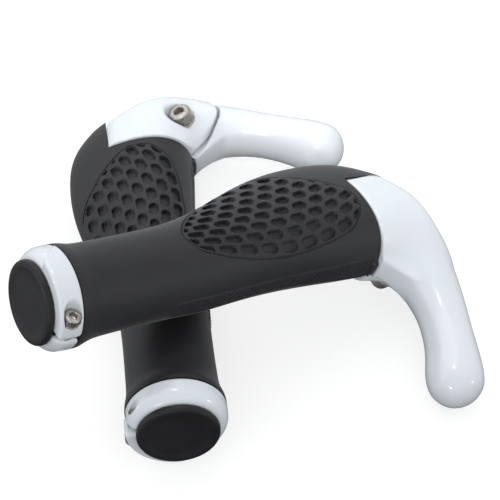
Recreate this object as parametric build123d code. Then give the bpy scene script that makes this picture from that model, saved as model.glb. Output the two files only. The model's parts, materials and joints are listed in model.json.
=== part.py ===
from build123d import *
from math import cos, pi, sin
import os

# A pair of lock-on bicycle grips with bar ends, lying crossed on a table.
#
# Each grip is drawn in a frame of its own, in mm: X runs along the handlebar from the end plug outboard to
# the bar end, +Y points to the palm rest and -Y to the horn. The left and right grips are mirror images
# across that frame's XY plane: the clamp bolt enters from +Z on the right grip and from -Z on the left.

# ---- Driving dimensions ----
HANDLEBAR_RADIUS = 11.1      # a 22.2 mm handlebar
RUNNING = 0.05               # radial clearance of a running fit
SLIDING = 0.1                # radial clearance of a sliding fit
GAP = 0.3                    # clearance between pieces that only pass each other
CUT_REACH = 60.0             # of cuts that go right through a piece
BORE_RADIUS = HANDLEBAR_RADIUS + SLIDING
SLEEVE_RADIUS = 12.7         # inside the rubber
SLEEVE_END_RADIUS = 12.3     # under the lock ring and under the clamp

PLUG_FLANGE = 2.3            # thickness
PLUG_RADIUS = 13.9
PLUG_EDGE = 0.9              # rounding of the flange's edge
PLUG_STEM_END = 15.0
PLUG_HOLLOW = 8.6            # radius inside the stem
PLUG_SEAT = 11.6             # radius of the sleeve's mouth, where the plug's stem sits
SLEEVE_START = 3.0
SLEEVE_END = 147.0
SLEEVE_SLOT = 1.6            # width of the slots that let the sleeve's ends close on the bar
RING_START = PLUG_FLANGE + GAP
RING_END = 10.8
RING_RADIUS = 17.0
RUBBER_START = RING_END + GAP
RUBBER_SHOULDER = 129.5      # where the round part of the rubber stops at the clamp
RUBBER_TIP = 149.0           # outboard end of the palm rest
CLAMP_START = RUBBER_SHOULDER + GAP
CLAMP_END = 149.8
CLAMP_FLAT = 15.2            # the clamp's flat side, next to the palm rest
INNER_SLOT_END = RING_END - 0.5
OUTER_SLOT_START = CLAMP_START + 3

# Cross-sections of the rubber: place along the bar, reach on the palm side, reach on the finger side,
# half thickness, and how much of that thickness the palm rest loses towards its edge. The first five
# are the round lip that flares out to meet the lock ring.
RUBBER_SECTIONS = [
    (RUBBER_START, 17.0, 17.0, 17.0, 0.0),
    (12.6, 17.0, 16.95, 16.95, 0.0),
    (14.4, 16.75, 16.5, 16.5, 0.0),
    (16.5, 16.3, 15.9, 15.85, 0.0),
    (19.0, 16.0, 15.45, 15.4, 0.0),
    (23.0, 15.85, 15.2, 15.15, 0.0),
    (30.0, 15.8, 15.05, 15.0, 0.0),
    (38.0, 15.8, 15.0, 14.9, 0.0),
    (47.0, 16.0, 15.05, 14.9, 0.01),
    (60.0, 17.4, 15.3, 14.9, 0.05),
    (74.0, 21.2, 14.5, 14.7, 0.17),
    (90.0, 26.4, 14.0, 14.5, 0.32),
    (106.0, 29.8, 14.8, 14.5, 0.38),
    (120.0, 30.6, 15.9, 14.5, 0.40),
    (132.0, 29.5, 16.4, 14.5, 0.38),
    (141.0, 26.2, 16.4, 14.3, 0.34),
    (RUBBER_TIP, 20.6, 16.4, 13.9, 0.26),
]
CLAMP_SECTION = (30.0, 17.2, 15.2, 0.36)      # the same four numbers, for the clamp
SECTION_POINTS = 28

# Horn: centre line in the XY plane and the radius there. Both ends are rounded off.
HORN = [
    ((149.2, 3.0), 3.0),
    ((149.3, 0.5), 7.6),
    ((149.4, -4.0), 10.4),
    ((149.2, -13.0), 11.4),
    ((147.8, -24.0), 10.8),
    ((145.7, -36.0), 9.3),
    ((142.1, -48.0), 8.8),
    ((138.0, -58.0), 9.7),
    ((134.9, -64.2), 10.5),
    ((132.7, -68.6), 9.9),
    ((130.9, -72.0), 7.6),
    ((129.9, -73.9), 4.4),
    ((129.6, -74.5), 2.0),
]

CLAMP_EDGE = 2.4             # rounding of the clamp's outboard edge and of the web
CLAMP_CORNER = 8.0           # rounding, seen from above, where the flat side meets the outboard end
WEB = [(CLAMP_START, -8.0), (CLAMP_START, -16.6), (138.5, -28.0), (148.0, -28.0), (148.0, -8.0)]
WEB_HALF = 6.0

# Clamp: the split runs out from the bore and round the clamp's free end, which lies over the horn's root.
SPLIT_LOW, SPLIT_HIGH = 1.4, 2.8
FREE_END_CENTRE = (147.5, -20.0)
FREE_END_RADIUS = 12.0
SEAM = 0.9
SPLIT_MOUTH = -6.0           # the y at which the split starts, inside the bore
SPLIT_CORNER = (-10.0, 3.0)  # reach, from the free end's centre, of the cut beside the rubber

# Clamp bolt, M5 x 16: the middle of its head's face, and the way it is driven.
CLAMP_BOLT_AT = (142.5, -12.2, 16.2)
CLAMP_BOLT_WAY = (0.0, -0.355, -0.935)
CLAMP_BOLT = dict(radius=2.5, length=16.0, head_radius=4.25, head=5.0, hex_key=4.0, socket=2.8)
CLAMP_WASHER = dict(outer=4.6, inner=2.65, thick=0.8)

POCKET_DEPTH = 14.0          # of the cuts that open a screw head's seat to the outside

# Lock ring bolt, M3 x 12: it crosses the ring's split at right angles, at this distance from the bar's axis.
RING_BOLT_OFFSET = 14.4
RING_BOLT_X = 6.9
RING_BOLT_SEAT = 6.0         # from the split's middle plane to the washer
RING_BOLT = dict(radius=1.5, length=12.0, head_radius=2.75, head=3.0, hex_key=2.5, socket=1.6)
RING_WASHER = dict(outer=2.9, inner=1.6, thick=0.4)
RING_SPLIT = 1.4
RING_LUG_SWEEP = 105.0       # degrees of the ring that are built up, from the split past the bolt head
RING_LUG_RADIUS = 17.5
RING_BEVEL = [(0.0, 2.6), (0.7, 1.0), (2.4, 0.0)]      # from the inboard end, and below the ring's radius
RING_LUG_EDGE = 0.8          # chamfer of the built-up part, facing the plug
RING_LUG_BACK_EDGE = 0.5     # and facing the rubber

# The sleeve's flat stiffener inside the palm rest: its corners in x and y, and its half thickness.
PALM_PLATE = [(60.0, 0.0), (60.0, 17.0), (82.0, 17.0), (82.0, 24.0), (126.0, 24.0), (126.0, 0.0)]
PALM_PLATE_HALF = 1.4

# How each grip lies on the table: where its plug's face is, its heading, how far its outboard end points up,
# and its roll about the bar. The ring's turn is the angle of its split from the palm side.
PLACES = {
    "right": dict(at=(-23.2, -55.7, 17.6), heading=96.6, pitch=-0.6, roll=1.2, ring=1.5),
    "left": dict(at=(-69.9, -37.4, 62.25), heading=31.6, pitch=-15.6, roll=14.2, ring=176.0),
}


# ---- Shared shapes ----
def rod(radius, length):
    """A cylinder along Z, from z = 0."""
    return Cylinder(radius, length, align=(Align.CENTER, Align.CENTER, Align.MIN))


def along_x(radius, start, end):
    """A cylinder on the bar's axis."""
    return Pos(start, 0, 0) * Rot(0, 90, 0) * rod(radius, end - start)


def block(low, high):
    """A box between two corners."""
    size = [h - l for l, h in zip(low, high)]
    return Pos(*low) * Box(*size, align=(Align.MIN, Align.MIN, Align.MIN))


def revolved_x(points):
    """A solid turned about the bar's axis from its outline in x and radius."""
    return revolve(make_face(Polyline(*points, close=True)), Axis.X)


def section_wire(x, palm, finger, half, thinning):
    """The closed outline of one cross-section: an oval that thins towards the palm side."""
    middle = (palm - finger) / 2
    reach = (palm + finger) / 2
    points = []
    for i in range(SECTION_POINTS):
        t = 2 * pi * i / SECTION_POINTS
        points.append((x, middle + reach * cos(t), half * sin(t) * (1 - thinning * cos(t))))
    return Wire([Edge.make_spline([Vector(*p) for p in points], periodic=True)])


def cap_screw(radius, length, head_radius, head, hex_key, socket):
    """A socket screw along Z: its head's face at z = 0, driven towards +Z."""
    body = rod(head_radius, head)
    body = chamfer(body.edges().filter_by(GeomType.CIRCLE).group_by(Axis.Z)[0], 0.12 * head_radius)
    body += Pos(0, 0, head) * rod(radius, length)
    body = chamfer(body.edges().filter_by(GeomType.CIRCLE).group_by(Axis.Z)[-1], 0.25 * radius)
    return body - extrude(RegularPolygon(hex_key / 2, 6, major_radius=False), socket)


def washer(outer, inner, thick):
    """A washer along Z, from z = 0."""
    return rod(outer, thick) - rod(inner, thick)


def clamp_bolt_place():
    """The clamp screw's own frame: its head's face at z = 0, with z the way it is driven."""
    return Location(Plane(origin=CLAMP_BOLT_AT, x_dir=(1, 0, 0), z_dir=CLAMP_BOLT_WAY))


def ring_bolt_place(split_angle):
    """The ring screw's frame, with its face on the side of the split that has the lower angle."""
    face = RING_BOLT_SEAT + RING_WASHER["thick"] + RING_BOLT["head"]
    at_split = Plane(origin=(RING_BOLT_X, RING_BOLT_OFFSET, -face), x_dir=(1, 0, 0), z_dir=(0, 0, 1))
    return Rot(split_angle, 0, 0) * Location(at_split)


# ---- Pieces of one grip, in its own frame ----
def end_plug():
    flange = fillet(along_x(PLUG_RADIUS, 0, PLUG_FLANGE).edges().group_by(Axis.X)[0], PLUG_EDGE)
    stem = along_x(PLUG_SEAT - SLIDING, PLUG_FLANGE, PLUG_STEM_END)
    return flange + stem - along_x(PLUG_HOLLOW, PLUG_FLANGE, PLUG_STEM_END + 1)


def palm_plate():
    """The stiffener as a solid: the sleeve adds it and the rubber makes room for it."""
    outline = make_face(Polyline(*PALM_PLATE, close=True))
    return extrude(outline, PALM_PLATE_HALF, both=True)


def core_sleeve():
    body = along_x(SLEEVE_END_RADIUS, SLEEVE_START, SLEEVE_END)
    body += along_x(SLEEVE_RADIUS, RUBBER_START, RUBBER_SHOULDER)
    body += palm_plate()
    body -= along_x(BORE_RADIUS, 0, CLAMP_END + 1)
    body -= along_x(PLUG_SEAT, 0, PLUG_STEM_END + GAP)
    low, high = (-PLUG_RADIUS, -SLEEVE_SLOT / 2), (PLUG_RADIUS, SLEEVE_SLOT / 2)
    for turn in (45, 135):
        body -= Rot(turn, 0, 0) * block((0, *low), (INNER_SLOT_END, *high))
        body -= Rot(turn, 0, 0) * block((OUTER_SLOT_START, *low), (CLAMP_END, *high))
    return body


def rubber_grip():
    body = Part() + Solid.make_loft([section_wire(*s) for s in RUBBER_SECTIONS])
    body -= block((RUBBER_SHOULDER, -CUT_REACH, -CUT_REACH), (RUBBER_TIP + 1, CLAMP_FLAT + GAP, CUT_REACH))
    body -= along_x(SLEEVE_RADIUS, 0, RUBBER_SHOULDER + 1)
    return body - palm_plate()


def lock_ring(split_angle):
    """The split clamp ring, with its split's middle plane at the given angle from the palm side."""
    bore = SLEEVE_END_RADIUS + RUNNING
    bevel = [(RING_START + x, RING_RADIUS - below) for x, below in RING_BEVEL]
    body = revolved_x([(RING_START, bore), *bevel, (RING_END, RING_RADIUS), (RING_END, bore)])
    lug = [(RING_START, bore), (RING_START, RING_LUG_RADIUS - RING_LUG_EDGE),
           (RING_START + RING_LUG_EDGE, RING_LUG_RADIUS), (RING_END - RING_LUG_BACK_EDGE, RING_LUG_RADIUS),
           (RING_END, RING_LUG_RADIUS - RING_LUG_BACK_EDGE), (RING_END, bore)]
    body += revolve(make_face(Polyline(*lug, close=True)), Axis.X, revolution_arc=-RING_LUG_SWEEP)
    body -= block((0, 0, -RING_SPLIT / 2), (CUT_REACH, CUT_REACH, RING_SPLIT / 2))
    screw = ring_bolt_place(0)
    seat = RING_BOLT["head"] + RING_WASHER["thick"]
    body -= screw * Pos(0, 0, seat - POCKET_DEPTH) * rod(RING_BOLT["head_radius"] + GAP, POCKET_DEPTH)
    body -= screw * rod(RING_BOLT["radius"] + RUNNING, 2 * RING_RADIUS)
    return Rot(split_angle, 0, 0) * body


def horn_body():
    """The curved horn: circles across its centre line."""
    spine = Edge.make_spline([Vector(x, y, 0) for (x, y), _ in HORN])
    rings = []
    for (x, y), radius in HORN:
        way = spine.tangent_at(spine.param_at_point(Vector(x, y, 0)))
        rings.append(Wire.make_circle(radius, Plane(origin=(x, y, 0), x_dir=(0, 0, 1), z_dir=way)))
    return Part() + Solid.make_loft(rings)


def clamp_body():
    """The clamp round the bar, flat where it meets the palm rest, with a web under the horn's root."""
    outline = Face(section_wire(CLAMP_START, *CLAMP_SECTION))
    body = extrude(outline, CLAMP_END - CLAMP_START, dir=(1, 0, 0))
    body -= block((0, CLAMP_FLAT, -CUT_REACH), (CLAMP_END + 1, CUT_REACH, CUT_REACH))
    body = fillet(body.edges().filter_by(Axis.Z).group_by(Axis.X)[-1], CLAMP_CORNER)
    body = fillet(body.edges().group_by(Axis.X)[-1], CLAMP_EDGE)
    web = Pos(0, 0, -WEB_HALF) * extrude(make_face(Polyline(*WEB, close=True)), 2 * WEB_HALF)
    edges = web.edges().group_by(Axis.Z)
    return body + fillet(edges[0] + edges[-1], CLAMP_EDGE)


def clamp_split():
    """The split: level from the bore to the free end's outline, then up along that outline."""
    x, y = FREE_END_CENTRE
    centre = Pos(x, y, SPLIT_LOW)
    thick = SPLIT_HIGH - SPLIT_LOW
    level = centre * rod(FREE_END_RADIUS + SEAM, thick)
    level += block((CLAMP_START - 1, y - 4, SPLIT_LOW), (x, SPLIT_MOUTH, SPLIT_HIGH))
    level += block((x, y, SPLIT_LOW), (CLAMP_END + 15, SPLIT_MOUTH, SPLIT_HIGH))
    rise = centre * rod(FREE_END_RADIUS + SEAM, CUT_REACH) - centre * rod(FREE_END_RADIUS, CUT_REACH)
    rise &= block((0, -CUT_REACH, 0), (CLAMP_END + CUT_REACH, y, CUT_REACH))
    low, high = (y + reach for reach in SPLIT_CORNER)
    corner = block((CLAMP_START - 1, low, SPLIT_LOW), (x - FREE_END_RADIUS, high, FREE_END_RADIUS))
    return level, rise + corner


def bar_end():
    body = clamp_body() + horn_body()
    body -= along_x(SLEEVE_END_RADIUS + RUNNING, CLAMP_START - 1, 200)
    for cut in clamp_split():
        body -= cut
    screw = clamp_bolt_place()
    seat = CLAMP_BOLT["head"] + CLAMP_WASHER["thick"]
    body -= screw * Pos(0, 0, seat - POCKET_DEPTH) * rod(CLAMP_WASHER["outer"] + GAP, POCKET_DEPTH)
    hole_end = CLAMP_BOLT["head"] + CLAMP_BOLT["length"] + 2 * GAP
    return body - screw * rod(CLAMP_BOLT["radius"] + RUNNING, hole_end)


def grip_pieces(side):
    """Every piece of one grip, in the grip's own frame."""
    ring_turn = PLACES[side]["ring"]
    ring_screw = ring_bolt_place(ring_turn)
    clamp_screw = clamp_bolt_place()
    pieces = {
        "rubber_grip": rubber_grip(),
        "core_sleeve": core_sleeve(),
        "end_plug": end_plug(),
        "lock_ring": lock_ring(ring_turn),
        "lock_ring_bolt": ring_screw * cap_screw(**RING_BOLT),
        "lock_ring_washer": ring_screw * Pos(0, 0, RING_BOLT["head"]) * washer(**RING_WASHER),
        "bar_end": bar_end(),
        "bar_end_bolt": clamp_screw * cap_screw(**CLAMP_BOLT),
        "bar_end_washer": clamp_screw * Pos(0, 0, CLAMP_BOLT["head"]) * washer(**CLAMP_WASHER),
    }
    if side == "left":
        for name in ("bar_end", "bar_end_bolt", "bar_end_washer"):
            pieces[name] = mirror(pieces[name], about=Plane.XY)
    return pieces


def grip_location(side):
    place = PLACES[side]
    return Pos(*place["at"]) * Rot(Z=place["heading"]) * Rot(Y=-place["pitch"]) * Rot(X=place["roll"])


# ---- The pair on the table, with the origin under the middle of the whole ----
parts = {}
for side in ("right", "left"):
    for name, shape in grip_pieces(side).items():
        parts[side + "_" + name] = grip_location(side) * shape

whole = Compound(children=[Compound(p.wrapped) for p in parts.values()]).bounding_box()
TO_ORIGIN = Pos(-whole.center().X, -whole.center().Y, -whole.min.Z)

os.makedirs("parts", exist_ok=True)
for name, shape in parts.items():
    parts[name] = TO_ORIGIN * shape
    export_step(parts[name], "parts/" + name + ".step")
print("moved to the origin by", [round(v, 3) for v in TO_ORIGIN.position])
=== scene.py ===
import json
from math import ceil, pi, radians, tau

import bmesh
import bpy
import numpy as np
import openvdb
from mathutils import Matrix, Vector


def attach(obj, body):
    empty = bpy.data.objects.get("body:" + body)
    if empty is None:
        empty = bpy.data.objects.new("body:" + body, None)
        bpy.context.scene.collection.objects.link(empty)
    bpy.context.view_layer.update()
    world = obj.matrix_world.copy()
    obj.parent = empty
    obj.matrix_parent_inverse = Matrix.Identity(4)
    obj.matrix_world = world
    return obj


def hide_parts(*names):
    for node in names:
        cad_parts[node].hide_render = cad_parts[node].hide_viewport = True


# The visual model of a pair of bicycle grips with bar ends. Each grip is drawn in a frame of its own, in
# millimetres: X runs along the handlebar from the end plug outboard, +Y points to the palm rest and -Y to
# the horn. The left bar end is the right one mirrored across that frame's XY plane.

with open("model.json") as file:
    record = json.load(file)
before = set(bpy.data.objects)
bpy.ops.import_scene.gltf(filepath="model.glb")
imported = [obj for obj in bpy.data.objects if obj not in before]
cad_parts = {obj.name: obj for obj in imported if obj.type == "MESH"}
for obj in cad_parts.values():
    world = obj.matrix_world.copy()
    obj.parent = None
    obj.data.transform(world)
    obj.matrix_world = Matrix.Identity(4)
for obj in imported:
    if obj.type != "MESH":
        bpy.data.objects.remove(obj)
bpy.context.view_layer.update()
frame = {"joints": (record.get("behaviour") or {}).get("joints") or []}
MM = 0.001
JOINTS = {joint["name"]: joint for joint in frame["joints"]}

# ---- The grips' own frames, read from the joints ----
RING_JOINT_X = 6.9                       # where the lock ring's joint lies on the bar's axis
CLAMP_SCREW_AT = (142.5, -12.2, 16.2)    # middle of the clamp screw's head face
CLAMP_SCREW_OUT = (0.0, 0.355, 0.935)    # the way that screw comes out


class Grip:
    """One grip's place: its origin and axes in the row frame, and its hand, -1 for the mirrored bar end."""

    def __init__(self, side, hand):
        self.side, self.hand = side, hand
        along = np.array(JOINTS[side + "_bar_end_slide"]["axis"], float)
        self.origin = np.array(JOINTS[side + "_ring_turn"]["pos_m"], float) - along * RING_JOINT_X * MM
        screw = JOINTS[side + "_clamp_bolt_turn"]
        offset = (np.array(screw["pos_m"], float) - self.origin) / MM - along * CLAMP_SCREW_AT[0]
        # The screw's place and its way out are known mixes of the palm axis and the third one.
        table = np.array([CLAMP_SCREW_AT[1:], CLAMP_SCREW_OUT[1:]])
        palm = np.linalg.solve(table, np.array([offset, screw["axis"]]))[0]
        palm -= along * (palm @ along)
        palm /= np.linalg.norm(palm)
        self.axes = np.array([along, palm, np.cross(along, palm)])

    def local(self, point):
        """A point of the row frame, in metres, to the grip's frame, in mm."""
        return (np.array(point, float) - self.origin) / MM @ self.axes.T

    def place(self, points, mirrored=False):
        """Points in the grip's frame, in mm, to metres in the row frame."""
        local = np.array(points, float)
        if mirrored:
            local = local * (1, 1, self.hand)
        return self.origin + local @ self.axes * MM


GRIPS = [Grip("right", 1), Grip("left", -1)]


# ---- Mesh helpers ----
def spline(xs, values):
    """A natural cubic spline through the points, as a function of an array. Past its ends it is straight."""
    xs, values = np.array(xs, float), np.array(values, float)
    steps, rises = np.diff(xs), np.diff(values) / np.diff(xs)
    count = len(xs)
    table, right = np.eye(count), np.zeros(count)
    for i in range(1, count - 1):
        table[i, i - 1:i + 2] = steps[i - 1], 2 * (steps[i - 1] + steps[i]), steps[i]
        right[i] = 6 * (rises[i] - rises[i - 1])
    bend = np.linalg.solve(table, right)
    slopes = rises - steps * (2 * bend[:-1] + bend[1:]) / 6
    last = rises[-1] + steps[-1] * (bend[-2] + 2 * bend[-1]) / 6

    def value(x):
        inside = np.clip(x, xs[0], xs[-1])
        i = np.clip(np.searchsorted(xs, inside, side="right") - 1, 0, count - 2)
        t = inside - xs[i]
        y = values[i] + t * (slopes[i] + t * (bend[i] / 2 + t * (bend[i + 1] - bend[i]) / (6 * steps[i])))
        return y + (x - inside) * np.where(x < inside, slopes[0], last)

    return value


def smooth_step(low, high, x):
    """From 0 at low to 1 at high, level at both."""
    t = np.clip((x - low) / (high - low), 0, 1)
    return t * t * (3 - 2 * t)


def smooth_min(a, b, width):
    """The lesser of two distances, rounded over where they differ by less than the width."""
    h = np.maximum(width - np.abs(a - b), 0) / width
    return np.minimum(a, b) - h * h * width / 4


def smooth_max(a, b, width):
    return -smooth_min(-a, -b, width)


def polygon_distance(x, y, corners):
    """Signed distance in the plane to a closed polygon, negative inside."""
    corners = np.array(corners, float)
    nearest = np.full(np.broadcast(x, y).shape, 1e9)
    inside = np.zeros(nearest.shape, bool)
    for (ax, ay), (bx, by) in zip(corners, np.roll(corners, -1, 0)):
        ex, ey = bx - ax, by - ay
        t = np.clip(((x - ax) * ex + (y - ay) * ey) / (ex * ex + ey * ey), 0, 1)
        nearest = np.minimum(nearest, (x - ax - t * ex) ** 2 + (y - ay - t * ey) ** 2)
        crosses = (ay > y) != (by > y)
        inside ^= crosses & (x < ax + (y - ay) * ex / (ey if ey else 1e-9))
    return np.where(inside, -1, 1) * np.sqrt(nearest)


def iso_mesh(distance, low, high, voxel):
    """The surface where distance(x, y, z) is 0, with each vertex moved on to it, as points and faces."""
    low = np.array(low, float)
    counts = [ceil((h - l) / voxel) + 1 for l, h in zip(low, high)]
    axes = [l + voxel * np.arange(n) for l, n in zip(low, counts)]
    values = distance(axes[0][:, None, None], axes[1][None, :, None], axes[2][None, None, :])
    grid = openvdb.FloatGrid(float(10 * voxel))
    grid.copyFromArray(np.ascontiguousarray(values, np.float32))
    points, triangles, quads = grid.convertToPolygons(isovalue=0.0, adaptivity=0.0)
    points = low + voxel * points.astype(float)
    step = voxel / 5
    for _ in range(3):
        here = distance(*points.T)
        slope = np.empty_like(points)
        for i in range(3):
            shift = np.zeros(3)
            shift[i] = step
            slope[:, i] = (distance(*(points + shift).T) - distance(*(points - shift).T)) / (2 * step)
        size = np.maximum(np.linalg.norm(slope, axis=1), 0.3)
        move = np.clip(here / size, -voxel / 2, voxel / 2) / size
        points -= slope * move[:, None]
    faces = [list(map(int, f)) for f in triangles] + [list(map(int, f)) for f in quads]
    return points, faces


def turned(profile, segments, closed=False):
    """Points and faces of a form turned about Z from rows of (z, radius). A radius may be an array of one
    for each segment, and a radius of 0 closes the form there. A closed profile's last row joins its first."""
    angles = tau * np.arange(segments) / segments
    points, rings = [], []
    for z, radius in profile:
        first = len(points)
        if np.ndim(radius) == 0 and radius == 0:
            points.append((0, 0, z))
        else:
            r = np.broadcast_to(radius, segments)
            points += list(zip(r * np.cos(angles), r * np.sin(angles), np.full(segments, z)))
        rings.append(list(range(first, len(points))))
    if closed:
        rings.append(rings[0])
    faces = []
    for a, b in zip(rings, rings[1:]):
        for i in range(segments):
            j = (i + 1) % segments
            if len(a) == 1:
                faces.append([a[0], b[j], b[i]])
            elif len(b) == 1:
                faces.append([a[i], a[j], b[0]])
            else:
                faces.append([a[i], a[j], b[j], b[i]])
    return np.array(points), faces


def rounded(corners, steps=4):
    """A profile of (z, radius) corners, each with its rounding as a third number, as a finer profile."""
    out = []
    for k, (z, r, size) in enumerate(corners):
        if size == 0 or k in (0, len(corners) - 1):
            out.append((z, r))
            continue
        here = np.array((z, r))
        back, on = np.array(corners[k - 1][:2]) - here, np.array(corners[k + 1][:2]) - here
        start = here + back / np.linalg.norm(back) * size
        end = here + on / np.linalg.norm(on) * size
        for t in np.linspace(0, 1, steps + 1):
            bend = (1 - t) ** 2 * start + 2 * t * (1 - t) * here + t * t * end
            out.append((float(bend[0]), float(bend[1])))
    return out


# ---- Materials ----
def new_material(name, **values):
    """A material with a principled shader. Values that are the same all over are set on its own sockets."""
    material = bpy.data.materials.new(name)
    material.use_nodes = True
    nodes, links = material.node_tree.nodes, material.node_tree.links
    shader = nodes["Principled BSDF"]
    for key, value in values.items():
        shader.inputs[key.replace("_", " ")].default_value = value
    return material, nodes, links, shader


def noise(nodes, links, scale, detail=3.0, roughness=0.5):
    """A noise texture in the object's own metres; scale is in features per metre."""
    place = nodes.new("ShaderNodeTexCoord")
    texture = nodes.new("ShaderNodeTexNoise")
    texture.inputs["Scale"].default_value = scale
    texture.inputs["Detail"].default_value = detail
    texture.inputs["Roughness"].default_value = roughness
    links.new(place.outputs["Object"], texture.inputs["Vector"])
    return texture


def ramp(nodes, links, source, low, high, start=0.3, end=0.7):
    """A colour ramp between two colours."""
    node = nodes.new("ShaderNodeValToRGB")
    for stop, colour, at in zip(node.color_ramp.elements, (low, high), (start, end)):
        stop.color = (*colour, 1)
        stop.position = at
    links.new(source, node.inputs["Fac"])
    return node


def map_range(nodes, links, source, low, high):
    """Turns a 0 to 1 value into one between low and high."""
    node = nodes.new("ShaderNodeMapRange")
    node.inputs["To Min"].default_value = low
    node.inputs["To Max"].default_value = high
    links.new(source, node.inputs["Value"])
    return node


def bump(nodes, links, shader, heights):
    """Stacks bumps from (height output, strength, distance) on the shader's normal."""
    before = None
    for height, strength, distance in heights:
        node = nodes.new("ShaderNodeBump")
        node.inputs["Strength"].default_value = strength
        node.inputs["Distance"].default_value = distance
        links.new(height, node.inputs["Height"])
        if before:
            links.new(before.outputs["Normal"], node.inputs["Normal"])
        before = node
    links.new(before.outputs["Normal"], shader.inputs["Normal"])


def rubber_material():
    material, nodes, links, shader = new_material(
        "moulded_rubber", Specular_IOR_Level=0.45, Sheen_Weight=0.22, Sheen_Roughness=0.35)
    cloud = noise(nodes, links, 90, 4.0)
    colour = ramp(nodes, links, cloud.outputs["Fac"], (0.008, 0.008, 0.0095), (0.013, 0.013, 0.015))
    links.new(colour.outputs["Color"], shader.inputs["Base Color"])
    grain = noise(nodes, links, 2600, 3.0, 0.65)
    rough = map_range(nodes, links, cloud.outputs["Fac"], 0.46, 0.60)
    links.new(rough.outputs["Result"], shader.inputs["Roughness"])
    bump(nodes, links, shader, [(grain.outputs["Fac"], 0.22, 0.0002), (cloud.outputs["Fac"], 0.15, 0.0006)])
    return material


def paint_material():
    material, nodes, links, shader = new_material(
        "white_paint", Specular_IOR_Level=0.5, Coat_Weight=0.5, Coat_Roughness=0.06)
    cloud = noise(nodes, links, 25, 2.0)
    colour = ramp(nodes, links, cloud.outputs["Fac"], (0.79, 0.83, 0.865), (0.82, 0.855, 0.885))
    links.new(colour.outputs["Color"], shader.inputs["Base Color"])
    peel = noise(nodes, links, 420, 2.0)
    rough = map_range(nodes, links, peel.outputs["Fac"], 0.20, 0.30)
    links.new(rough.outputs["Result"], shader.inputs["Roughness"])
    bump(nodes, links, shader, [(peel.outputs["Fac"], 0.05, 0.0003)])
    return material


def plug_material():
    material, nodes, links, shader = new_material("plug_plastic", Specular_IOR_Level=0.3)
    cloud = noise(nodes, links, 120, 3.0)
    colour = ramp(nodes, links, cloud.outputs["Fac"], (0.010, 0.010, 0.011), (0.016, 0.016, 0.018))
    links.new(colour.outputs["Color"], shader.inputs["Base Color"])
    rough = map_range(nodes, links, cloud.outputs["Fac"], 0.36, 0.50)
    links.new(rough.outputs["Result"], shader.inputs["Roughness"])
    grain = noise(nodes, links, 1900, 2.0)
    bump(nodes, links, shader, [(grain.outputs["Fac"], 0.15, 0.0001), (cloud.outputs["Fac"], 0.1, 0.0004)])
    return material


def nylon_material():
    material, nodes, links, shader = new_material("sleeve_nylon", Specular_IOR_Level=0.4)
    cloud = noise(nodes, links, 300, 3.0)
    colour = ramp(nodes, links, cloud.outputs["Fac"], (0.026, 0.026, 0.028), (0.040, 0.040, 0.042))
    links.new(colour.outputs["Color"], shader.inputs["Base Color"])
    rough = map_range(nodes, links, cloud.outputs["Fac"], 0.45, 0.6)
    links.new(rough.outputs["Result"], shader.inputs["Roughness"])
    bump(nodes, links, shader, [(cloud.outputs["Fac"], 0.2, 0.0002)])
    return material


def steel_material():
    material, nodes, links, shader = new_material("nickel_steel", Metallic=1.0)
    stain = noise(nodes, links, 700, 4.0)
    colour = ramp(nodes, links, stain.outputs["Fac"], (0.30, 0.265, 0.23), (0.60, 0.58, 0.55))
    links.new(colour.outputs["Color"], shader.inputs["Base Color"])
    rough = map_range(nodes, links, stain.outputs["Fac"], 0.38, 0.22)
    links.new(rough.outputs["Result"], shader.inputs["Roughness"])
    scratch = noise(nodes, links, 4000, 2.0)
    bump(nodes, links, shader, [(scratch.outputs["Fac"], 0.2, 0.0001)])
    return material


def floor_material():
    material, nodes, links, shader = new_material(
        "pale_floor", Specular_IOR_Level=0.2, Emission_Color=(1, 1, 1, 1), Emission_Strength=0.72)
    cloud = noise(nodes, links, 3, 2.0)
    colour = ramp(nodes, links, cloud.outputs["Fac"], (0.38, 0.38, 0.38), (0.40, 0.40, 0.40))
    links.new(colour.outputs["Color"], shader.inputs["Base Color"])
    rough = map_range(nodes, links, cloud.outputs["Fac"], 0.5, 0.6)
    links.new(rough.outputs["Result"], shader.inputs["Roughness"])
    return material


RUBBER, PAINT, PLUG = rubber_material(), paint_material(), plug_material()
NYLON, STEEL = nylon_material(), steel_material()

# ---- Rubber ----
RUBBER_START, SHOULDER, RUBBER_TIP = 11.1, 129.5, 149.0
SHELF_Y = 15.5               # the palm rest's flat side, next to the clamp
SLEEVE_RADIUS = 12.7
RUBBER_SECTIONS = [          # place, palm reach, finger reach, half thickness, thinning towards the palm side
    (RUBBER_START, 17.0, 17.0, 17.0, 0.0), (12.6, 17.0, 16.95, 16.95, 0.0), (14.4, 16.75, 16.5, 16.5, 0.0),
    (16.5, 16.3, 15.9, 15.85, 0.0), (19.0, 16.0, 15.45, 15.4, 0.0), (23.0, 15.85, 15.2, 15.15, 0.0),
    (30.0, 15.8, 15.05, 15.0, 0.0), (38.0, 15.8, 15.0, 14.9, 0.0), (47.0, 16.0, 15.05, 14.9, 0.01),
    (60.0, 17.4, 15.3, 14.9, 0.05), (74.0, 21.2, 14.5, 14.7, 0.17), (90.0, 26.4, 14.0, 14.5, 0.32),
    (106.0, 29.8, 14.8, 14.5, 0.38), (120.0, 30.6, 15.9, 14.5, 0.40), (132.0, 29.5, 16.4, 14.5, 0.38),
    (141.0, 26.2, 16.4, 14.3, 0.34), (RUBBER_TIP, 20.6, 16.4, 13.9, 0.26)]
RUBBER_SHAPE = [spline([s[0] for s in RUBBER_SECTIONS], [s[k] for s in RUBBER_SECTIONS]) for k in range(1, 5)]
TIP_ROUNDING = 2.6

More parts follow.
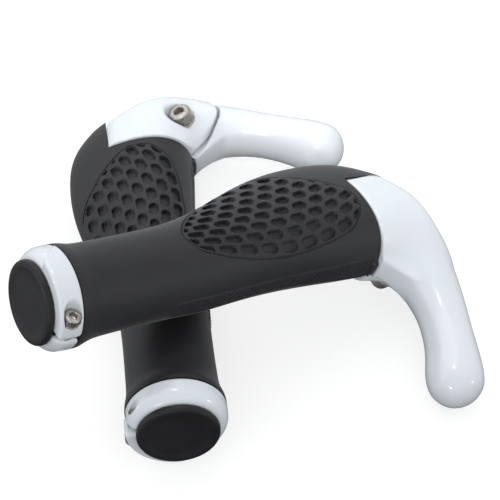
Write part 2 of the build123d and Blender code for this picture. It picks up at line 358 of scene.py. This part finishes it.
# The pitted pad on both faces of the palm rest: its outline, and rows of long pits that fan out.
PAD_OUTLINE = [(54.7, 3.6), (57.4, -2.2), (63.3, -5.4), (72.0, -8.0), (83.2, -9.8), (95.4, -10.2),
               (106.0, -9.5), (112.8, -8.5), (118.6, -6.9), (123.2, -3.3), (125.6, -0.2), (126.5, 4.4),
               (126.0, 9.2), (122.4, 13.4), (117.0, 18.2), (110.5, 22.0), (104.0, 25.2), (94.8, 26.6),
               (85.0, 25.0), (77.1, 21.8), (65.0, 14.9), (57.9, 9.2)]
PAD_BORDER = 0.7             # left plain inside the outline
PAD_GROOVE, GROOVE_HALF = 0.55, 0.35     # depth and half width of the fine groove round the pad
PIT_DEPTH, PIT_WALL = 1.5, 0.28
PIT_PITCH, PIT_LENGTH = 8.0, 6.3
PIT_LENGTH_STEP = -0.16      # from row to row
PIT_ROUNDING, PIT_ROUNDING_STEP = 0.385, 0.005     # a pit's end radius as a share of the rows' pitch
ROW_FIRST, ROW_SHIFT = 0.45, 0.35        # the first row's place, in rows, and each row's shift along the bar
ROW_BASE = spline([54, 62, 72, 84, 96, 106, 116, 126], [-2.9, -4.8, -6.8, -8.7, -9.8, -9.2, -7.2, -3.6])
ROW_PITCH = spline([54, 66, 80, 95, 110, 126], [2.7, 3.3, 3.9, 4.4, 4.6, 4.6])
ROWS = 10

# The knurled strip along the finger side.
KNURL_START, KNURL_END = 45.0, 127.6
KNURL_SIDE = (-6, -11)                   # the strip fades in between these places across the bar
KNURL_PITCH, KNURL_HEIGHT = 1.5, 0.42
RIDGE_HEIGHT, RIDGE_WIDTH = 0.32, 0.42   # of the ridges along the strip's edges
NUB_HEIGHT, NUB_RISE, NUB_FALL = 1.1, (126.2, 127.6), (4.2, 2.8)
KNURL_HALF = spline([45, 60, 75, 95, 108, 120, 129], [3.4, 3.7, 3.2, 3.2, 3.8, 5.0, 5.6])


def rubber_surface(x, t):
    """Points of the plain outer surface at places x and angles t."""
    palm, finger, half, thinning = (shape(x) for shape in RUBBER_SHAPE)
    y = (palm - finger) / 2 + (palm + finger) / 2 * np.cos(t)
    z = half * np.sin(t) * (1 - thinning * np.cos(t))
    return np.stack([np.broadcast_to(x, y.shape), y, z], -1)


def shelf_angle(x):
    """The angle at which the outer surface meets the palm rest's flat side."""
    palm, finger = RUBBER_SHAPE[0](x), RUBBER_SHAPE[1](x)
    return np.arccos((SHELF_Y - (palm - finger) / 2) / ((palm + finger) / 2))


def pit_depth(x, y):
    """How deep the pad is pitted at a place on the palm rest's face."""
    inside = polygon_distance(x, y, smooth_loop(PAD_OUTLINE, 4))
    nearest = np.full(x.shape, 9.0)
    for row in range(ROWS):
        pitch = ROW_PITCH(x)
        length = PIT_LENGTH + PIT_LENGTH_STEP * row
        radius = pitch * (PIT_ROUNDING + PIT_ROUNDING_STEP * row)
        dx = np.mod(x - (row % 2) * PIT_PITCH / 2 + ROW_SHIFT * row, PIT_PITCH) - PIT_PITCH / 2
        dy = y - ROW_BASE(x) - (row + ROW_FIRST) * pitch
        reach = np.maximum(np.abs(dx) - (length / 2 - radius), 0)
        nearest = np.minimum(nearest, np.hypot(reach, dy) - radius)
    edge = smooth_max(nearest, inside + PAD_BORDER, 0.4)
    groove = PAD_GROOVE * smooth_step(GROOVE_HALF, 0.1, np.abs(inside))
    return np.maximum(PIT_DEPTH * smooth_step(0.1, -PIT_WALL, edge), groove)


def smooth_loop(points, between):
    """A closed loop with extra points on a smooth curve through the given ones."""
    p = np.array(points, float)
    out = []
    for k in range(len(p)):
        a, b, c, d = p[k - 1], p[k], p[(k + 1) % len(p)], p[(k + 2) % len(p)]
        for t in np.arange(between) / between:
            out.append(0.5 * (2 * b + (c - a) * t + (2 * a - 5 * b + 4 * c - d) * t * t
                              + (3 * b - a - 3 * c + d) * t ** 3))
    return out


def knurl_height(x, y, z):
    """The knurled strip, its edge ridges and the nub where it ends at the clamp."""
    half = KNURL_HALF(x)
    side = smooth_step(*KNURL_SIDE, y)
    along = smooth_step(KNURL_START, KNURL_START + 3, x) * smooth_step(KNURL_END + 1, KNURL_END, x)
    within = smooth_step(half, half - 0.5, np.abs(z))
    dots = np.cos(tau * x / KNURL_PITCH) * np.cos(tau * z / KNURL_PITCH)
    ridge = RIDGE_HEIGHT * np.exp(-((np.abs(z) - half) / RIDGE_WIDTH) ** 2)
    nub = NUB_HEIGHT * smooth_step(*NUB_RISE, x) * smooth_step(*NUB_FALL, np.abs(z))
    return side * (along * (ridge + within * (0.12 + KNURL_HEIGHT * np.clip(dots, -0.2, 1))) + nub)


def spaced(stops):
    """Values from stop to stop, each stretch cut into its own number of steps, with no last value."""
    out = []
    for (start, _), (end, count) in zip(stops, stops[1:]):
        out += list(np.linspace(start, end, count, endpoint=False))
    return np.array(out)


def rubber_mesh():
    """Rows round the rubber up to the shoulder, the palm rest beyond it, and the bore."""
    edge = float(shelf_angle(np.array(SHOULDER)))
    pad_end, knurl = radians(146), radians(15.5)
    palm_side = spaced([(-edge, 0), (radians(-23), 54), (radians(23), 10), (edge, 54)])
    finger_side = spaced([(edge, 0), (pad_end, 104), (pi - knurl, 8), (pi + knurl, 36), (tau - pad_end, 8),
                          (tau - edge, 104)])
    stations = np.append(spaced([(RUBBER_START, 0), (19.0, 12), (45.0, 22), (54.5, 26), (126.8, 270),
                                 (SHOULDER, 10)]), SHOULDER)
    columns = np.append(finger_side, palm_side + tau)
    body = rubber_surface(stations[:, None], columns[None, :])
    x, y, z = body[..., 0], body[..., 1], body[..., 2]
    depth = pit_depth(x, y) * smooth_step(1.5, 4.0, np.abs(z))
    raised = knurl_height(x, y, z)
    body[..., 2] -= np.sign(z) * depth
    body[..., 1] -= raised
    count, n_finger = len(columns), len(finger_side)

    points, faces = [], []

    def add_rows(rows):
        first = len(points)
        points.extend(rows.reshape(-1, 3).tolist())
        return first + np.arange(rows.shape[0] * rows.shape[1]).reshape(rows.shape[:2])

    def join(a, b, closed=True):
        wrap = len(a) if closed else len(a) - 1
        for i in range(wrap):
            j = (i + 1) % len(a)
            faces.append([int(a[i]), int(b[i]), int(b[j]), int(a[j])])

    grid = add_rows(body)
    for a, b in zip(grid, grid[1:]):
        join(a, b)

    # The palm rest beyond the shoulder: its outer skin, rounded off at the tip, and its flat side.
    beyond = np.append(np.linspace(SHOULDER, RUBBER_TIP - TIP_ROUNDING, 24),
                       RUBBER_TIP - TIP_ROUNDING * (1 - np.sin(np.linspace(0, radians(80), 9)[1:])))
    share = np.append(palm_side, edge) / edge
    angles = shelf_angle(np.minimum(beyond, RUBBER_TIP))[:, None] * share[None, :]
    skin = rubber_surface(beyond[:, None], angles)
    past = np.maximum(beyond - RUBBER_TIP + TIP_ROUNDING, 0) / TIP_ROUNDING
    close = np.sqrt(np.maximum(1 - past ** 2, 0))
    skin[..., 1] = SHELF_Y + (skin[..., 1] - SHELF_Y) * close[:, None]
    skin[..., 2] *= (0.82 + 0.18 * close)[:, None]
    first_row = np.append(grid[-1][n_finger:], grid[-1][0])
    shell = add_rows(skin[1:])
    for a, b in zip([first_row, *shell], shell):
        join(a, b, closed=False)
    across = np.linspace(-1, 1, len(share))
    flat = np.stack([np.broadcast_to(beyond[:, None], skin.shape[:2]), np.full(skin.shape[:2], SHELF_Y),
                     skin[:, -1, 2][:, None] * across[None, :]], -1)
    shelf = add_rows(flat[:, 1:-1])
    shelf_rows = [np.concatenate([[o[0]], s, [o[-1]]]) for o, s in zip([first_row, *shell], shelf)]
    for a, b in zip(shelf_rows, shelf_rows[1:]):
        join(b, a, closed=False)
    join(shell[-1], shelf_rows[-1], closed=False)

    # The shoulder, the bore and the inboard end.
    rim = np.concatenate([grid[-1][:n_finger + 1], shelf_rows[0][1:-1]])
    rim_points = np.array([points[i] for i in rim])
    turn = np.arctan2(rim_points[:, 2], rim_points[:, 1])
    bore = SLEEVE_RADIUS * np.stack([np.zeros(len(rim)), np.cos(turn), np.sin(turn)], -1)
    bore[:, 0] = SHOULDER
    inner = bore.copy()
    inner[:, 0] = RUBBER_START
    mouth = add_rows(bore[None])[0]
    back = add_rows(inner[None])[0]
    join(rim, mouth)
    join(mouth, back)
    join(back, grid[0])
    return np.array(points), faces


# ---- End plug ----
PLUG_RADIUS, PLUG_FLANGE, PLUG_LENGTH = 13.9, 2.3, 15.0
STEM_RADIUS, STEM_HOLLOW = 11.5, 8.6
DISH_DEPTH, DISH_RADIUS = 0.4, 10.0      # of the shallow dish in the plug's face
STEM_GROOVES, GROOVE_WIDTH, GROOVE_DEPTH = (5.0, 8.0, 11.0), 1.0, 0.6


def plug_mesh():
    """Turned about Z from the plug's face at z = 0 into the bar: a flange, a grooved stem and its hollow."""
    corners = [(DISH_DEPTH, 0, 0), (DISH_DEPTH, DISH_RADIUS, 1.4), (0, STEM_RADIUS, 0.7)]
    corners += [(0, PLUG_RADIUS, 1.4), (PLUG_FLANGE, PLUG_RADIUS, 0.3), (PLUG_FLANGE, STEM_RADIUS, 0.2)]
    bottom = STEM_RADIUS - GROOVE_DEPTH
    for start in STEM_GROOVES:
        end = start + GROOVE_WIDTH
        corners += [(start, STEM_RADIUS, 0.1), (start, bottom, 0.1)]
        corners += [(end, bottom, 0.1), (end, STEM_RADIUS, 0.1)]
    corners += [(PLUG_LENGTH, STEM_RADIUS, 0.9), (PLUG_LENGTH, STEM_HOLLOW, 0.4)]
    corners += [(PLUG_FLANGE, STEM_HOLLOW, 0.6), (PLUG_FLANGE, 0, 0)]
    return turned(rounded(corners), 128)


# ---- Screws and washers ----
RING_SCREW = {"radius": 1.5, "length": 12.0, "head_radius": 2.75, "head": 3.0, "hex_key": 2.5, "socket": 1.6,
              "pitch": 0.5, "segments": 96}
CLAMP_SCREW = {"radius": 2.5, "length": 16.0, "head_radius": 4.25, "head": 5.0, "hex_key": 4.0, "socket": 2.8,
               "pitch": 0.8, "segments": 144}
RING_WASHER = {"outer": 2.9, "inner": 1.6, "thick": 0.4}
CLAMP_WASHER = {"outer": 4.6, "inner": 2.65, "thick": 0.8}
RIB_DEPTH = 0.022            # of a screw head's ribs, as a share of its radius


def screw_mesh(radius, length, head_radius, head, hex_key, socket, pitch, segments):
    """A socket screw turned about Z, with its head's face at z = 0, driven towards +Z."""
    angles = tau * np.arange(segments) / segments
    hexagon = hex_key / 2 / np.cos(np.mod(angles, tau / 6) - tau / 12)
    ribbed = head_radius * (1 - RIB_DEPTH * (1 + np.cos(angles * segments / 4)))
    smooth = head_radius * 0.985
    edge = 0.12 * head_radius
    rows = [(socket + 0.25 * hex_key, 0), (socket, hexagon * 0.96), (socket - 0.1, hexagon), (0.2, hexagon),
            (0.02, hexagon * 1.07), (0, hexagon * 1.1)]
    rows += [(0, head_radius - edge * 1.6), (0.04 * head_radius, head_radius - edge)]
    rows += [(edge, head_radius - edge * 0.3), (edge * 1.4, smooth)]
    rows += [(edge * 1.8, ribbed), (head * 0.9, ribbed)]
    rows += [(head * 0.92, smooth), (head, head_radius * 0.96), (head, radius * 1.06)]
    tip = 0.5 * radius
    for z in np.arange(head + 0.5, head + length - tip, pitch / 6):
        rows.append((z, radius - 0.3 * pitch * (1 + np.cos(tau * z / pitch - angles))))
    rows += [(head + length - tip, radius * 0.9), (head + length, radius * 0.66), (head + length, 0)]
    return turned(rows, segments)


def washer_mesh(outer, inner, thick):
    """A bevelled washer from z = 0 up."""
    edge = 0.2 * thick
    corners = [(0, inner), (0, outer - edge), (edge, outer), (thick - edge, outer), (thick, outer - edge),
               (thick, inner)]
    return turned(corners, 96, closed=True)


# ---- Lock ring ----
RING_START, RING_END, RING_BORE = 2.6, 10.8, 12.35
RING_RADIUS, LUG_RADIUS, CONE_START = 17.0, 17.5, 14.4
LUG_END = (-84, -138)                    # degrees from the split, between which the built-up part runs out
RING_SCREW_X, RING_SCREW_OFFSET = 6.9, 14.4
RING_SEAT = 6.0                          # from the split's middle to the washer's seat
RING_SCREW_FACE = 9.4                    # and to the face of the screw's head
RING_SPLIT = 0.7                         # half width
RING_POCKET, RING_HOLE = 3.05, 1.55      # radii round the screw's head and its thread
CONE_SHARE = 0.7071                      # of the bevel at the inboard edge, which is at 45 degrees


def ring_distance(x, y, z):
    """The lock ring in a frame of its own: X along the bar, the split at +Y, the screw driven towards +Z."""
    radius = np.hypot(y, z)
    ends = np.maximum(RING_START - x, x - RING_END)
    cone = ((radius - CONE_START) - (x - RING_START)) * CONE_SHARE
    plain = smooth_max(smooth_max(radius - RING_RADIUS, cone, 1.6), ends, 0.9)
    lug = smooth_max(radius - LUG_RADIUS, ends, 1.3)
    angle = np.degrees(np.arctan2(z, y))
    lug_start = RING_START - 2 + (RING_END - RING_START + 3) * smooth_step(*LUG_END, angle)
    lug = smooth_max(lug, np.where(angle < 0, lug_start - x, 9.0), 0.8)
    body = smooth_max(smooth_min(plain, lug, 0.4), RING_BORE - radius, 0.5)
    body = smooth_max(body, np.where(y > 0, RING_SPLIT - np.abs(z), -9.0), 1.9)
    around = np.hypot(x - RING_SCREW_X, y - RING_SCREW_OFFSET)
    body = smooth_max(body, -np.maximum(around - RING_POCKET, z + RING_SEAT), 0.7)
    return np.maximum(body, RING_HOLE - around)


# ---- Bar end ----
CLAMP_START, CLAMP_END, CLAMP_BORE, CLAMP_FLAT = 129.8, 149.8, 12.35, 15.2
CLAMP_SLANT, SLANT_START = 0.38, -1.0    # of the outboard end, towards the palm side
CLAMP_PALM, CLAMP_FINGER, CLAMP_HALF, CLAMP_THINNING = 30.0, 17.2, 15.2, 0.36
HORN = [                     # y, x and radius along the horn
    (3.0, 149.2, 3.0), (0.5, 149.3, 7.6), (-4.0, 149.4, 10.4), (-13.0, 149.2, 11.4), (-24.0, 147.8, 10.8),
    (-36.0, 146.1, 9.4), (-48.0, 142.6, 8.8), (-58.0, 138.4, 9.5), (-64.2, 135.2, 10.0), (-68.6, 132.9, 9.3),
    (-71.8, 131.1, 7.0), (-73.5, 130.2, 4.1), (-74.1, 129.9, 1.9)]
HORN_BLEND, WEB_BLEND = 11.0, 2.5        # of the horn into the clamp, and of the web into both
HORN_Y = [h[0] for h in HORN[::-1]]
HORN_X = spline(HORN_Y, [h[1] for h in HORN[::-1]])
HORN_SQUARE = spline(HORN_Y, [h[2] ** 2 for h in HORN[::-1]])
WEB = [(CLAMP_START, -8.0), (CLAMP_START, -16.6), (138.5, -28.0), (148.0, -28.0), (148.0, -8.0)]
WEB_HALF, WEB_TOP = 6.0, (3.0, 5.0)      # the web stops short under the clamp's free end
WEB_RISE = (-16, -30)                    # where its top rises
SPLIT_LOW, SPLIT_HIGH, SPLIT_END = 3.0, 4.8, -6.0      # heights of the level split, and where it ends
SEAM, SEAM_STEP = 1.1, 0.35              # width round the free end, and how far that end is set back
SEAM_STOP = (150, -22)                   # the seam isn't cut beyond this x and y
HORN_FREE = -32                          # past this y the horn may reach inboard of the clamp
CLAMP_SEAT, CLAMP_POCKET = 5.8, 4.9      # depth of the washer's seat, and radius round the screw's head
CLAMP_HOLE, CLAMP_HOLE_END = 2.55, 21.6  # radius and depth of the thread's hole

# The clamp's free end seen from above: down the clamp's edge, over the horn's root and back outboard.
FREE_END = [(126, 30), (126, -12.6), (129.9, -16.0), (131.7, -17.9), (134.9, -20.5), (137.9, -22.4),
            (140.2, -24.1), (142.6, -25.7), (145.4, -27.1), (148.4, -27.6), (151.5, -27.2), (155, -25.6),
            (159, -22), (163, -16), (175, -12), (175, 30)]


def horn_distance(x, y, z):
    """The horn: round, with its middle on a curve in the XY plane and its radius changing along it."""
    lean = (HORN_X(y + 0.1) - HORN_X(y - 0.1)) / 0.2
    near = y + (x - HORN_X(y)) * lean / (1 + lean * lean)
    across = (x - HORN_X(near)) ** 2 + (y - near) ** 2 + z * z
    square = HORN_SQUARE(near)
    growth = (HORN_SQUARE(near + 0.1) - HORN_SQUARE(near - 0.1)) / 0.2
    return (across - square) / np.sqrt(4 * across + growth ** 2 + 1)


def clamp_distance(x, y, z):
    """The clamp's oval block, flat where it meets the palm rest."""
    middle, reach = (CLAMP_PALM - CLAMP_FINGER) / 2, (CLAMP_PALM + CLAMP_FINGER) / 2
    place = (y - middle) / reach
    half = CLAMP_HALF * (1 - CLAMP_THINNING * place)
    value = (z / half) ** 2 + place ** 2 - 1
    slope_y = 2 * place / reach + 2 * z * z * CLAMP_HALF * CLAMP_THINNING / (reach * half ** 3)
    oval = value / np.sqrt((2 * z / half ** 2) ** 2 + slope_y ** 2 + 1e-6)
    slant = (x - CLAMP_END + CLAMP_SLANT * (y - SLANT_START)) / np.hypot(1, CLAMP_SLANT)
    plan = smooth_max(y - CLAMP_FLAT, smooth_max(x - CLAMP_END, slant, 5.0), 3.0)
    return smooth_max(smooth_max(oval, plan, 3.2), CLAMP_START - x, 0.8)


def bar_end_distance(x, y, z):
    """Clamp, horn and web in one, with the split, the free end's seam, the bore and the screw's hole."""
    clamp, horn = clamp_distance(x, y, z), horn_distance(x, y, z)
    web_top = WEB_TOP[0] + (WEB_TOP[1] - WEB_TOP[0]) * smooth_step(*WEB_RISE, y)
    web = smooth_max(polygon_distance(x, y, WEB), np.maximum(z - web_top, -WEB_HALF - z), 1.6)
    body = smooth_min(smooth_min(clamp, horn, HORN_BLEND), web, WEB_BLEND)
    body = np.maximum(body, np.where(y > HORN_FREE, CLAMP_START - x, -9.0))
    outline = polygon_distance(x, y, FREE_END)
    body = body - SEAM_STEP * smooth_step(0.2, -0.6, outline) * smooth_step(SPLIT_LOW, SPLIT_HIGH, z)
    groove = np.maximum(np.abs(outline - SEAM / 2) - SEAM / 2, SPLIT_LOW - z)
    groove = np.where((x > SEAM_STOP[0]) & (y > SEAM_STOP[1]), 9.0, groove)
    level = np.maximum(np.maximum(outline - SEAM, y - SPLIT_END), np.maximum(SPLIT_LOW - z, z - SPLIT_HIGH))
    body = smooth_max(body, -np.minimum(groove, level), 0.5)
    body = smooth_max(body, CLAMP_BORE - np.hypot(y, z), 0.6)
    way = -np.array(CLAMP_SCREW_OUT)
    dx, dy, dz = x - CLAMP_SCREW_AT[0], y - CLAMP_SCREW_AT[1], z - CLAMP_SCREW_AT[2]
    along = dy * way[1] + dz * way[2]
    around = np.sqrt(np.maximum(dx * dx + dy * dy + dz * dz - along * along, 0))
    body = smooth_max(body, -np.maximum(around - CLAMP_POCKET, along - CLAMP_SEAT), 0.8)
    return np.maximum(body, -np.maximum(around - CLAMP_HOLE, along - CLAMP_HOLE_END))


# ---- The pieces ----
RING_VOXEL, BAR_END_VOXEL = 0.28, 0.38
RING_BOX = (RING_START - 1, -LUG_RADIUS - 1, -LUG_RADIUS - 1), (RING_END + 1, LUG_RADIUS + 1, LUG_RADIUS + 1)
BAR_END_BOX = (122, -76.5, -19), (163, CLAMP_FLAT + 1.5, 19)
SHAPES = {
    "rubber_grip": rubber_mesh(),
    "end_plug": plug_mesh(),
    "lock_ring": iso_mesh(ring_distance, *RING_BOX, RING_VOXEL),
    "lock_ring_bolt": screw_mesh(**RING_SCREW),
    "lock_ring_washer": washer_mesh(**RING_WASHER),
    "bar_end": iso_mesh(bar_end_distance, *BAR_END_BOX, BAR_END_VOXEL),
    "bar_end_bolt": screw_mesh(**CLAMP_SCREW),
    "bar_end_washer": washer_mesh(**CLAMP_WASHER)}
PIECES = {                   # material, body, material slot, and from what angle in degrees an edge is sharp
    "rubber_grip": (RUBBER, "grip_body", "grip_rubber", 50),
    "end_plug": (PLUG, "plug_body", "plug_plastic", 40),
    "lock_ring": (PAINT, "ring_body", "white_paint", 180),
    "lock_ring_bolt": (STEEL, "ring_bolt_body", "bright_steel", 30),
    "lock_ring_washer": (STEEL, "ring_washer_body", "bright_steel", 30),
    "bar_end": (PAINT, "horn_body", "white_paint", 180),
    "bar_end_bolt": (STEEL, "clamp_bolt_body", "bright_steel", 30),
    "bar_end_washer": (STEEL, "clamp_washer_body", "bright_steel", 30)}
PLUG_AXES = [(0, 1, 0), (0, 0, 1), (1, 0, 0)]      # its own Z runs along the bar


def add_piece(grip, kind, origin=(0, 0, 0), axes=((1, 0, 0), (0, 1, 0), (0, 0, 1)), mirrored=False):
    """Makes one kind's mesh in the row frame, drawn from an origin and axes in the grip's frame, attaches it
    to the body it rides on and hides the CAD node of the same name."""
    material, body, slot, sharp = PIECES[kind]
    points, faces = SHAPES[kind]
    points = np.array(origin, float) + points @ np.array(axes, float)
    name = grip.side + "_" + kind
    mesh = bpy.data.meshes.new(name + "_visual")
    mesh.from_pydata(grip.place(points, mirrored), [], faces)
    shell = bmesh.new()
    shell.from_mesh(mesh)
    bmesh.ops.recalc_face_normals(shell, faces=shell.faces)
    shell.to_mesh(mesh)
    shell.free()
    mesh.polygons.foreach_set("use_smooth", [True] * len(mesh.polygons))
    mesh.set_sharp_from_angle(angle=radians(sharp))
    mesh.materials.append(material)
    piece = bpy.data.objects.new(name + "_visual", mesh)
    bpy.context.scene.collection.objects.link(piece)
    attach(piece, grip.side + "_" + body)
    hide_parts(name)


def grip_pieces(grip):
    """All pieces of one grip. The lock ring and its screw are turned to where the ring screw's joint lies."""
    along = (1, 0, 0)
    screw = grip.local(JOINTS[grip.side + "_ring_bolt_turn"]["pos_m"])
    split = np.array([0, screw[1], screw[2]]) / np.hypot(screw[1], screw[2])
    ring_axes = [along, split, np.cross(along, split)]
    face = (RING_SCREW_X, 0, 0) + split * RING_SCREW_OFFSET - ring_axes[2] * RING_SCREW_FACE
    way = -np.array(CLAMP_SCREW_OUT)
    clamp_axes = [along, np.cross(way, along), way]

    add_piece(grip, "rubber_grip")
    add_piece(grip, "end_plug", axes=PLUG_AXES)
    add_piece(grip, "lock_ring", axes=ring_axes)
    add_piece(grip, "lock_ring_bolt", face, ring_axes)
    add_piece(grip, "lock_ring_washer", face + ring_axes[2] * RING_SCREW["head"], ring_axes)
    add_piece(grip, "bar_end", mirrored=True)
    add_piece(grip, "bar_end_bolt", CLAMP_SCREW_AT, clamp_axes, mirrored=True)
    add_piece(grip, "bar_end_washer", CLAMP_SCREW_AT + way * CLAMP_SCREW["head"], clamp_axes, mirrored=True)
    bpy.data.objects[grip.side + "_core_sleeve"].material_slots[0].material = NYLON


for grip in GRIPS:
    grip_pieces(grip)

# ---- The stage ----
floor_mesh = bpy.data.meshes.new("floor")
floor_mesh.from_pydata([(-3, -3, 0), (3, -3, 0), (3, 3, 0), (-3, 3, 0)], [], [(0, 1, 2, 3)])
floor_mesh.materials.append(floor_material())
floor = bpy.data.objects.new("floor", floor_mesh)
bpy.context.scene.collection.objects.link(floor)

# The sky is a white studio that is darker below the horizon. The floor is white to the camera only, so that
# undersides stay as dark as they are over a real table.
world = bpy.data.worlds.new("studio")
bpy.context.scene.world = world
world.use_nodes = True
nodes, links = world.node_tree.nodes, world.node_tree.links
direction = nodes.new("ShaderNodeSeparateXYZ")
links.new(nodes.new("ShaderNodeTexCoord").outputs["Generated"], direction.inputs["Vector"])
sky = nodes.new("ShaderNodeMapRange")
for socket, value in {"From Min": -0.75, "From Max": 0.1, "To Min": 0.12, "To Max": 0.86}.items():
    sky.inputs[socket].default_value = value
links.new(direction.outputs["Z"], sky.inputs["Value"])
nodes["Background"].inputs["Color"].default_value = (0.96, 0.98, 1.0, 1)
links.new(sky.outputs["Result"], nodes["Background"].inputs["Strength"])
floor.visible_diffuse = floor.visible_glossy = False


def area_light(name, power, size, at, glint=False, towards=(0, 0, 0.03)):
    """A round lamp. A glint only shows as a highlight on glossy surfaces."""
    light = bpy.data.lights.new(name, "AREA")
    light.shape, light.energy, light.size = "DISK", power, size
    lamp = bpy.data.objects.new(name, light)
    lamp.location = at
    lamp.rotation_euler = (Vector(towards) - Vector(at)).to_track_quat("-Z", "Y").to_euler()
    lamp.visible_diffuse = not glint
    bpy.context.scene.collection.objects.link(lamp)
    return light


area_light("back_light", 3.1, 1.3, (-0.3, 0.7, 1.0))
area_light("left_light", 0.8, 0.7, (-0.9, -0.1, 0.6))
rear_fill = area_light("rear_fill", 0.019, 0.12, (-0.04, -0.32, 0.5), towards=(0.025, 0.075, 0.05))
rear_fill.spread = radians(14)
area_light("top_glint", 0.8, 0.16, (-0.06, 0.13, 1.03), True)
area_light("left_glint", 0.4, 0.08, (-0.9, -0.18, 0.07), True)
area_light("right_glint", 0.4, 0.08, (0.78, -0.33, 0.2), True)
area_light("front_glint", 0.4, 0.08, (-0.24, -0.75, 0.18), True)

camera_data = bpy.data.cameras.new("photo_view")
camera_data.lens, camera_data.sensor_width = 118.1, 36
camera = bpy.data.objects.new("photo_view", camera_data)
camera.location = (-0.0014, -0.4041, 0.4467)
camera.rotation_euler = (radians(43.58), 0, 0)
bpy.context.scene.collection.objects.link(camera)
bpy.context.scene.camera = camera
bpy.context.scene.view_settings.view_transform = "Standard"
